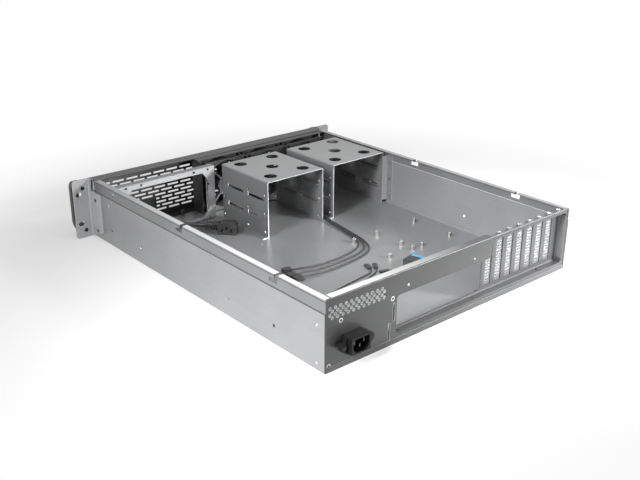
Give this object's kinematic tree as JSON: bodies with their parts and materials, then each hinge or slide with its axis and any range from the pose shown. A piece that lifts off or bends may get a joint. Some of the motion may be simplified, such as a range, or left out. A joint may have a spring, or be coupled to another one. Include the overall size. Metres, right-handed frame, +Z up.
{
  "type": "empty rackmount server case",
  "caption": "Open rackmount case: folded steel tray, slotted black front with handles, fans, drive cages, perforated slot covers and loose leads.",
  "frame": {"origin": "underside of the case, middle of its width, in the plane of the rack ears' back faces", "axes": "+Y from the rack face to the rear, +Z up, +X across the rack, to the right seen from the front"},
  "size_m": [0.4826, 0.565, 0.088],
  "materials": {
    "tray_steel": "galvanised sheet, semi-gloss",
    "rear_steel": "galvanised sheet, semi-gloss",
    "bracket_steel": "galvanised sheet, semi-gloss",
    "bright_screws": "bright zinc",
    "black_screws": "black zinc",
    "inlet_plastic": "satin",
    "pin_metal": "nickel plated",
    "ear_steel": "galvanised sheet, semi-gloss",
    "handle_black": "black, satin",
    "front_black": "black powder coat",
    "button_plastic": "satin",
    "board_green": "solder mask",
    "port_metal": "bright",
    "light_pipe": "translucent",
    "fan_plastic": "satin",
    "rotor_plastic": "satin",
    "standoff_metal": "bright",
    "plug_rubber": "matt",
    "lead_sheath": "matt",
    "lead_thin": "matt",
    "plug_black": "satin",
    "sleeve_black": "matt",
    "insert_blue": "satin"
  },
  "bodies": {
    "case": {"base_tray": "tray_steel", "board_standoffs": "standoff_metal", "cage_rivets": "bright_screws", "cage_tie": "bracket_steel", "control_board": "board_green", "drive_cage_inner": "bracket_steel", "drive_cage_outer": "bracket_steel", "ear_screws": "black_screws", "fan_bracket": "front_black", "fan_frame_1": "fan_plastic", "fan_frame_2": "fan_plastic", "fan_frame_3": "fan_plastic", "fan_lead_1": "lead_thin", "fan_lead_2": "lead_thin", "fan_lead_3": "lead_thin", "fan_plug_1": "plug_black", "fan_plug_2": "plug_black", "fan_plug_3": "plug_black", "front_harness": "sleeve_black", "front_panel": "front_black", "handle_left": "handle_black", "handle_right": "handle_black", "handle_screws": "black_screws", "harness_splitter": "sleeve_black", "inlet_housing": "inlet_plastic", "inlet_pins": "pin_metal", "inlet_screws": "bright_screws", "light_lead": "lead_thin", "light_plug": "plug_black", "mains_lead": "lead_sheath", "mains_plug": "plug_rubber", "power_lead": "lead_thin", "power_plug": "plug_black", "psu_bracket": "bracket_steel", "rack_ear_left": "ear_steel", "rack_ear_right": "ear_steel", "rear_panel": "rear_steel", "reset_lead": "lead_thin", "reset_plug": "plug_black", "slot_cover_1": "rear_steel", "slot_cover_2": "rear_steel", "slot_cover_3": "rear_steel", "slot_cover_4": "rear_steel", "slot_cover_5": "rear_steel", "slot_cover_6": "rear_steel", "slot_cover_7": "rear_steel", "slot_screws": "bright_screws", "status_lights": "light_pipe", "usb_insert": "insert_blue", "usb_lead": "lead_sheath", "usb_plug": "plug_black", "usb_ports": "port_metal"},
    "rotor_1": {"fan_rotor_1": "rotor_plastic"},
    "rotor_2": {"fan_rotor_2": "rotor_plastic"},
    "rotor_3": {"fan_rotor_3": "rotor_plastic"},
    "power_key": {"power_button": "button_plastic"},
    "reset_key": {"reset_button": "button_plastic"}
  },
  "joints": [
    {"name": "fan_1_spin", "type": "hinge", "parent": "case", "child": "rotor_1", "pos_m": [0, 0.0225, 0.0424], "axis": [0, 1, 0], "continuous": true},
    {"name": "fan_2_spin", "type": "hinge", "parent": "case", "child": "rotor_2", "pos_m": [-0.08, 0.0225, 0.0424], "axis": [0, 1, 0], "continuous": true},
    {"name": "fan_3_spin", "type": "hinge", "parent": "case", "child": "rotor_3", "pos_m": [-0.16, 0.0225, 0.0424], "axis": [0, 1, 0], "continuous": true},
    {"name": "power_press", "type": "slide", "parent": "case", "child": "power_key", "axis": [0, 1, 0], "range_m": [0, 0.0015], "stiffness_N_per_m": 400, "springref_m": -0.0015},
    {"name": "reset_press", "type": "slide", "parent": "case", "child": "reset_key", "axis": [0, 1, 0], "range_m": [0, 0.0015], "stiffness_N_per_m": 400, "springref_m": -0.0015}
  ]
}
